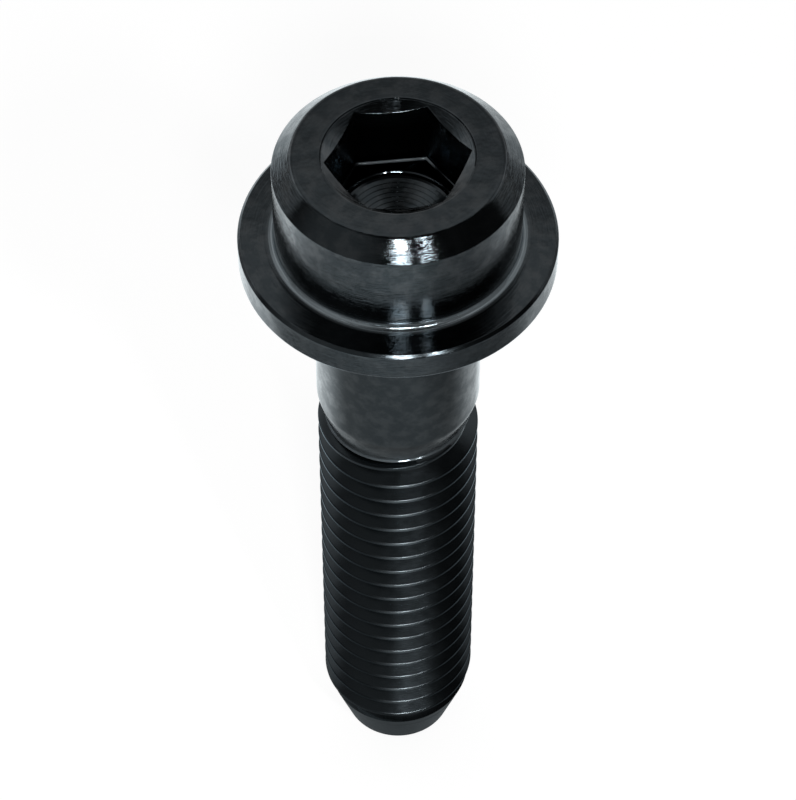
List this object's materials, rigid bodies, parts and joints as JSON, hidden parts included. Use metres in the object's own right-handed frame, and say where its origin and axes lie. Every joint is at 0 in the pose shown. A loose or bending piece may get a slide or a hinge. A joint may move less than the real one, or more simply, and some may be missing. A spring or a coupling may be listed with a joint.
{
  "type": "bolt",
  "caption": "Flanged bolt with a round chamfered head, hex socket, plain shank, coarse right-hand thread and tapered lead-in tip, in black coated steel.",
  "frame": {"origin": "centre of the flange's bearing face, on the bolt's axis", "axes": "+Z along the bolt's axis towards the head, -Z towards the tip; two opposite corners of the hex socket lie along X"},
  "size_m": [0.0185, 0.0184, 0.055],
  "materials": {
    "black_coating": "semi-gloss black coating over turned steel, with fine turning marks"
  },
  "bodies": {
    "root": {"bolt": "black_coating"}
  },
  "joints": []
}
